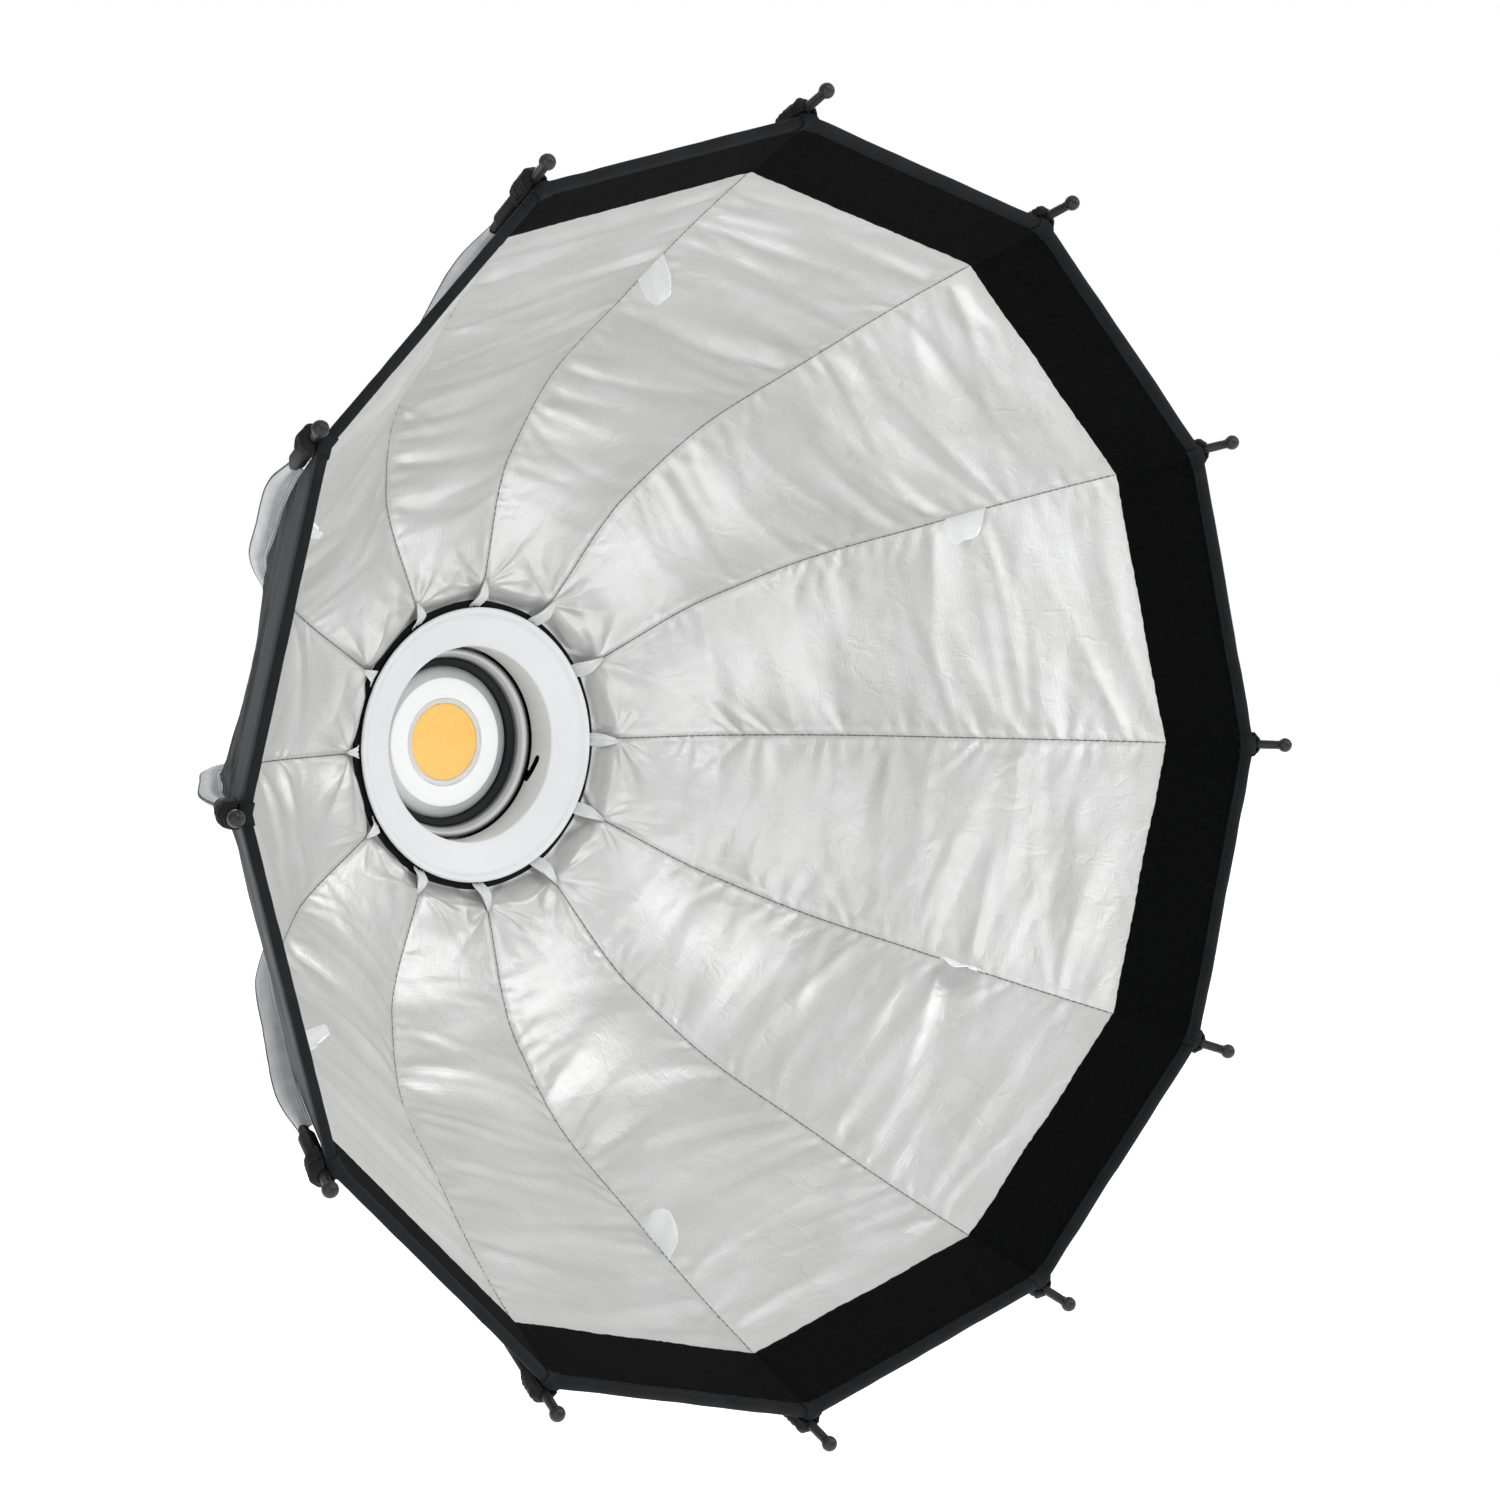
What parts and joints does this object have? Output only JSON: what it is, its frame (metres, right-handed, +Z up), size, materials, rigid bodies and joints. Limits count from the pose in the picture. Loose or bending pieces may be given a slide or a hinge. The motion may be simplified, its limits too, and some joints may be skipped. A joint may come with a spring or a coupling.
{
  "type": "folding softbox",
  "caption": "Deep folding octabox softbox: silver-lined fabric on hinged spring rods, white hub ring with rear bayonet, loop band in its mouth, lamp front fitted.",
  "frame": {"origin": "centre of the rear seating face, where the softbox sits on its lamp", "axes": "+Y points back along the optical axis towards the lamp, the mouth looks to -Y, +Z is up, rod 4 points straight up"},
  "size_m": [0.5786, 0.3084, 0.5786],
  "materials": {
    "white_enamel": "satin white enamel",
    "black_nylon": "matte black nylon",
    "charcoal_binding": "woven charcoal binding",
    "spring_steel": "dull spring steel",
    "polished_alloy": "polished aluminium",
    "silver_fabric": "silver satin inside, charcoal outside",
    "loop_fabric": "matte black loop pile",
    "lamp_white": "matte white",
    "phosphor": "yellow LED phosphor under clear resin"
  },
  "bodies": {
    "hub": {"reflector_ring": "white_enamel", "hub_carrier": "black_nylon", "bayonet_insert": "spring_steel", "hinge_wire": "spring_steel", "loop_band": "loop_fabric", "hem_binding": "charcoal_binding"},
    "collar": {"lock_collar": "black_nylon"},
    "lamp": {"lamp_mount_ring": "polished_alloy", "lamp_baffle_ring": "black_nylon", "lamp_face": "lamp_white", "led_emitter": "phosphor"},
    "rod_01": {"rod_01": "spring_steel", "rod_tip_01": "black_nylon"},
    "rod_02": {"rod_02": "spring_steel", "rod_tip_02": "black_nylon"},
    "rod_03": {"rod_03": "spring_steel", "rod_tip_03": "black_nylon"},
    "rod_04": {"rod_04": "spring_steel", "rod_tip_04": "black_nylon"},
    "rod_05": {"rod_05": "spring_steel", "rod_tip_05": "black_nylon"},
    "rod_06": {"rod_06": "spring_steel", "rod_tip_06": "black_nylon"},
    "rod_07": {"rod_07": "spring_steel", "rod_tip_07": "black_nylon"},
    "rod_08": {"rod_08": "spring_steel", "rod_tip_08": "black_nylon"},
    "rod_09": {"rod_09": "spring_steel", "rod_tip_09": "black_nylon"},
    "rod_10": {"rod_10": "spring_steel", "rod_tip_10": "black_nylon"},
    "rod_11": {"rod_11": "spring_steel", "rod_tip_11": "black_nylon"},
    "rod_12": {"rod_12": "spring_steel", "rod_tip_12": "black_nylon"},
    "gore_01a": {"gore_01a": "silver_fabric"},
    "gore_01b": {"gore_01b": "silver_fabric"},
    "gore_02a": {"gore_02a": "silver_fabric"},
    "gore_02b": {"gore_02b": "silver_fabric"},
    "gore_03a": {"gore_03a": "silver_fabric"},
    "gore_03b": {"gore_03b": "silver_fabric"},
    "gore_04a": {"gore_04a": "silver_fabric"},
    "gore_04b": {"gore_04b": "silver_fabric"},
    "gore_05a": {"gore_05a": "silver_fabric"},
    "gore_05b": {"gore_05b": "silver_fabric"},
    "gore_06a": {"gore_06a": "silver_fabric"},
    "gore_06b": {"gore_06b": "silver_fabric"},
    "gore_07a": {"gore_07a": "silver_fabric"},
    "gore_07b": {"gore_07b": "silver_fabric"},
    "gore_08a": {"gore_08a": "silver_fabric"},
    "gore_08b": {"gore_08b": "silver_fabric"},
    "gore_09a": {"gore_09a": "silver_fabric"},
    "gore_09b": {"gore_09b": "silver_fabric"},
    "gore_10a": {"gore_10a": "silver_fabric"},
    "gore_10b": {"gore_10b": "silver_fabric"},
    "gore_11a": {"gore_11a": "silver_fabric"},
    "gore_11b": {"gore_11b": "silver_fabric"},
    "gore_12a": {"gore_12a": "silver_fabric"},
    "gore_12b": {"gore_12b": "silver_fabric"}
  },
  "joints": [
    {"name": "rod_01_fold", "type": "hinge", "parent": "hub", "child": "rod_01", "pos_m": [0.075, -0.02, 0], "axis": [0, 0, -1], "range_deg": [0, 42], "deforming": ["loop_band", "hem_binding"]},
    {"name": "rod_02_fold", "type": "hinge", "parent": "hub", "child": "rod_02", "pos_m": [0.06495, -0.02, 0.0375], "axis": [0.5, 0, -0.866], "range_deg": [0, 42]},
    {"name": "rod_03_fold", "type": "hinge", "parent": "hub", "child": "rod_03", "pos_m": [0.0375, -0.02, 0.06495], "axis": [0.866, 0, -0.5], "range_deg": [0, 42]},
    {"name": "rod_04_fold", "type": "hinge", "parent": "hub", "child": "rod_04", "pos_m": [0, -0.02, 0.075], "axis": [1, 0, 0], "range_deg": [0, 42]},
    {"name": "rod_05_fold", "type": "hinge", "parent": "hub", "child": "rod_05", "pos_m": [-0.0375, -0.02, 0.06495], "axis": [0.866, 0, 0.5], "range_deg": [0, 42]},
    {"name": "rod_06_fold", "type": "hinge", "parent": "hub", "child": "rod_06", "pos_m": [-0.06495, -0.02, 0.0375], "axis": [0.5, 0, 0.866], "range_deg": [0, 42]},
    {"name": "rod_07_fold", "type": "hinge", "parent": "hub", "child": "rod_07", "pos_m": [-0.075, -0.02, 0], "axis": [0, 0, 1], "range_deg": [0, 42]},
    {"name": "rod_08_fold", "type": "hinge", "parent": "hub", "child": "rod_08", "pos_m": [-0.06495, -0.02, -0.0375], "axis": [-0.5, 0, 0.866], "range_deg": [0, 42]},
    {"name": "rod_09_fold", "type": "hinge", "parent": "hub", "child": "rod_09", "pos_m": [-0.0375, -0.02, -0.06495], "axis": [-0.866, 0, 0.5], "range_deg": [0, 42]},
    {"name": "rod_10_fold", "type": "hinge", "parent": "hub", "child": "rod_10", "pos_m": [0, -0.02, -0.075], "axis": [-1, 0, 0], "range_deg": [0, 42]},
    {"name": "rod_11_fold", "type": "hinge", "parent": "hub", "child": "rod_11", "pos_m": [0.0375, -0.02, -0.06495], "axis": [-0.866, 0, -0.5], "range_deg": [0, 42]},
    {"name": "rod_12_fold", "type": "hinge", "parent": "hub", "child": "rod_12", "pos_m": [0.06495, -0.02, -0.0375], "axis": [-0.5, 0, -0.866], "range_deg": [0, 42]},
    {"name": "gore_01a_fold", "type": "hinge", "parent": "rod_01", "child": "gore_01a", "pos_m": [0.075, -0.02, 0], "axis": [0.9114, 0.3498, -0.2169], "range_deg": [0, 11.9], "deforming": ["gore_01a"]},
    {"name": "gore_01b_fold", "type": "hinge", "parent": "rod_01", "child": "gore_01b", "pos_m": [0.075, -0.02, 0], "axis": [-0.9114, -0.3498, -0.2169], "range_deg": [0, 11.9], "deforming": ["gore_01b"]},
    {"name": "gore_02a_fold", "type": "hinge", "parent": "rod_02", "child": "gore_02a", "pos_m": [0.06495, -0.02, 0.0375], "axis": [0.8977, 0.3498, 0.2678], "range_deg": [0, 11.9], "deforming": ["gore_02a"]},
    {"name": "gore_02b_fold", "type": "hinge", "parent": "rod_02", "child": "gore_02b", "pos_m": [0.06495, -0.02, 0.0375], "axis": [-0.6808, -0.3498, -0.6435], "range_deg": [0, 11.9], "deforming": ["gore_02b"]},
    {"name": "gore_03a_fold", "type": "hinge", "parent": "rod_03", "child": "gore_03a", "pos_m": [0.0375, -0.02, 0.06495], "axis": [0.6435, 0.3498, 0.6808], "range_deg": [0, 11.9], "deforming": ["gore_03a"]},
    {"name": "gore_03b_fold", "type": "hinge", "parent": "rod_03", "child": "gore_03b", "pos_m": [0.0375, -0.02, 0.06495], "axis": [-0.2678, -0.3498, -0.8977], "range_deg": [0, 11.9], "deforming": ["gore_03b"]},
    {"name": "gore_04a_fold", "type": "hinge", "parent": "rod_04", "child": "gore_04a", "pos_m": [0, -0.02, 0.075], "axis": [0.2169, 0.3498, 0.9114], "range_deg": [0, 11.9], "deforming": ["gore_04a"]},
    {"name": "gore_04b_fold", "type": "hinge", "parent": "rod_04", "child": "gore_04b", "pos_m": [0, -0.02, 0.075], "axis": [0.2169, -0.3498, -0.9114], "range_deg": [0, 11.9], "deforming": ["gore_04b"]},
    {"name": "gore_05a_fold", "type": "hinge", "parent": "rod_05", "child": "gore_05a", "pos_m": [-0.0375, -0.02, 0.06495], "axis": [-0.2678, 0.3498, 0.8977], "range_deg": [0, 11.9], "deforming": ["gore_05a"]},
    {"name": "gore_05b_fold", "type": "hinge", "parent": "rod_05", "child": "gore_05b", "pos_m": [-0.0375, -0.02, 0.06495], "axis": [0.6435, -0.3498, -0.6808], "range_deg": [0, 11.9], "deforming": ["gore_05b"]},
    {"name": "gore_06a_fold", "type": "hinge", "parent": "rod_06", "child": "gore_06a", "pos_m": [-0.06495, -0.02, 0.0375], "axis": [-0.6808, 0.3498, 0.6435], "range_deg": [0, 11.9], "deforming": ["gore_06a"]},
    {"name": "gore_06b_fold", "type": "hinge", "parent": "rod_06", "child": "gore_06b", "pos_m": [-0.06495, -0.02, 0.0375], "axis": [0.8977, -0.3498, -0.2678], "range_deg": [0, 11.9], "deforming": ["gore_06b"]},
    {"name": "gore_07a_fold", "type": "hinge", "parent": "rod_07", "child": "gore_07a", "pos_m": [-0.075, -0.02, 0], "axis": [-0.9114, 0.3498, 0.2169], "range_deg": [0, 11.9], "deforming": ["gore_07a"]},
    {"name": "gore_07b_fold", "type": "hinge", "parent": "rod_07", "child": "gore_07b", "pos_m": [-0.075, -0.02, 0], "axis": [0.9114, -0.3498, 0.2169], "range_deg": [0, 11.9], "deforming": ["gore_07b"]},
    {"name": "gore_08a_fold", "type": "hinge", "parent": "rod_08", "child": "gore_08a", "pos_m": [-0.06495, -0.02, -0.0375], "axis": [-0.8977, 0.3498, -0.2678], "range_deg": [0, 11.9], "deforming": ["gore_08a"]},
    {"name": "gore_08b_fold", "type": "hinge", "parent": "rod_08", "child": "gore_08b", "pos_m": [-0.06495, -0.02, -0.0375], "axis": [0.6808, -0.3498, 0.6435], "range_deg": [0, 11.9], "deforming": ["gore_08b"]},
    {"name": "gore_09a_fold", "type": "hinge", "parent": "rod_09", "child": "gore_09a", "pos_m": [-0.0375, -0.02, -0.06495], "axis": [-0.6435, 0.3498, -0.6808], "range_deg": [0, 11.9], "deforming": ["gore_09a"]},
    {"name": "gore_09b_fold", "type": "hinge", "parent": "rod_09", "child": "gore_09b", "pos_m": [-0.0375, -0.02, -0.06495], "axis": [0.2678, -0.3498, 0.8977], "range_deg": [0, 11.9], "deforming": ["gore_09b"]},
    {"name": "gore_10a_fold", "type": "hinge", "parent": "rod_10", "child": "gore_10a", "pos_m": [0, -0.02, -0.075], "axis": [-0.2169, 0.3498, -0.9114], "range_deg": [0, 11.9], "deforming": ["gore_10a"]},
    {"name": "gore_10b_fold", "type": "hinge", "parent": "rod_10", "child": "gore_10b", "pos_m": [0, -0.02, -0.075], "axis": [-0.2169, -0.3498, 0.9114], "range_deg": [0, 11.9], "deforming": ["gore_10b"]},
    {"name": "gore_11a_fold", "type": "hinge", "parent": "rod_11", "child": "gore_11a", "pos_m": [0.0375, -0.02, -0.06495], "axis": [0.2678, 0.3498, -0.8977], "range_deg": [0, 11.9], "deforming": ["gore_11a"]},
    {"name": "gore_11b_fold", "type": "hinge", "parent": "rod_11", "child": "gore_11b", "pos_m": [0.0375, -0.02, -0.06495], "axis": [-0.6435, -0.3498, 0.6808], "range_deg": [0, 11.9], "deforming": ["gore_11b"]},
    {"name": "gore_12a_fold", "type": "hinge", "parent": "rod_12", "child": "gore_12a", "pos_m": [0.06495, -0.02, -0.0375], "axis": [0.6808, 0.3498, -0.6435], "range_deg": [0, 11.9], "deforming": ["gore_12a"]},
    {"name": "gore_12b_fold", "type": "hinge", "parent": "rod_12", "child": "gore_12b", "pos_m": [0.06495, -0.02, -0.0375], "axis": [-0.8977, -0.3498, 0.2678], "range_deg": [0, 11.9], "deforming": ["gore_12b"]},
    {"name": "collar_slide", "type": "slide", "parent": "hub", "child": "collar", "axis": [0, 1, 0], "range_m": [0, 0.00865]},
    {"name": "lamp_pull", "type": "slide", "parent": "hub", "child": "lamp", "axis": [0, 1, 0], "range_m": [0, 0.03]}
  ],
  "couplings": [
    {"joint": "rod_02_fold", "follows": "rod_01_fold", "ratio": 1},
    {"joint": "rod_03_fold", "follows": "rod_01_fold", "ratio": 1},
    {"joint": "rod_04_fold", "follows": "rod_01_fold", "ratio": 1},
    {"joint": "rod_05_fold", "follows": "rod_01_fold", "ratio": 1},
    {"joint": "rod_06_fold", "follows": "rod_01_fold", "ratio": 1},
    {"joint": "rod_07_fold", "follows": "rod_01_fold", "ratio": 1},
    {"joint": "rod_08_fold", "follows": "rod_01_fold", "ratio": 1},
    {"joint": "rod_09_fold", "follows": "rod_01_fold", "ratio": 1},
    {"joint": "rod_10_fold", "follows": "rod_01_fold", "ratio": 1},
    {"joint": "rod_11_fold", "follows": "rod_01_fold", "ratio": 1},
    {"joint": "rod_12_fold", "follows": "rod_01_fold", "ratio": 1},
    {"joint": "gore_01a_fold", "follows": "rod_01_fold", "ratio": 0.28315},
    {"joint": "gore_01b_fold", "follows": "rod_01_fold", "ratio": 0.28315},
    {"joint": "gore_02a_fold", "follows": "rod_01_fold", "ratio": 0.28315},
    {"joint": "gore_02b_fold", "follows": "rod_01_fold", "ratio": 0.28315},
    {"joint": "gore_03a_fold", "follows": "rod_01_fold", "ratio": 0.28315},
    {"joint": "gore_03b_fold", "follows": "rod_01_fold", "ratio": 0.28315},
    {"joint": "gore_04a_fold", "follows": "rod_01_fold", "ratio": 0.28315},
    {"joint": "gore_04b_fold", "follows": "rod_01_fold", "ratio": 0.28315},
    {"joint": "gore_05a_fold", "follows": "rod_01_fold", "ratio": 0.28315},
    {"joint": "gore_05b_fold", "follows": "rod_01_fold", "ratio": 0.28315},
    {"joint": "gore_06a_fold", "follows": "rod_01_fold", "ratio": 0.28315},
    {"joint": "gore_06b_fold", "follows": "rod_01_fold", "ratio": 0.28315},
    {"joint": "gore_07a_fold", "follows": "rod_01_fold", "ratio": 0.28315},
    {"joint": "gore_07b_fold", "follows": "rod_01_fold", "ratio": 0.28315},
    {"joint": "gore_08a_fold", "follows": "rod_01_fold", "ratio": 0.28315},
    {"joint": "gore_08b_fold", "follows": "rod_01_fold", "ratio": 0.28315},
    {"joint": "gore_09a_fold", "follows": "rod_01_fold", "ratio": 0.28315},
    {"joint": "gore_09b_fold", "follows": "rod_01_fold", "ratio": 0.28315},
    {"joint": "gore_10a_fold", "follows": "rod_01_fold", "ratio": 0.28315},
    {"joint": "gore_10b_fold", "follows": "rod_01_fold", "ratio": 0.28315},
    {"joint": "gore_11a_fold", "follows": "rod_01_fold", "ratio": 0.28315},
    {"joint": "gore_11b_fold", "follows": "rod_01_fold", "ratio": 0.28315},
    {"joint": "gore_12a_fold", "follows": "rod_01_fold", "ratio": 0.28315},
    {"joint": "gore_12b_fold", "follows": "rod_01_fold", "ratio": 0.28315},
    {"joint": "collar_slide", "follows": "rod_01_fold", "m_per_rad": 0.011733}
  ]
}
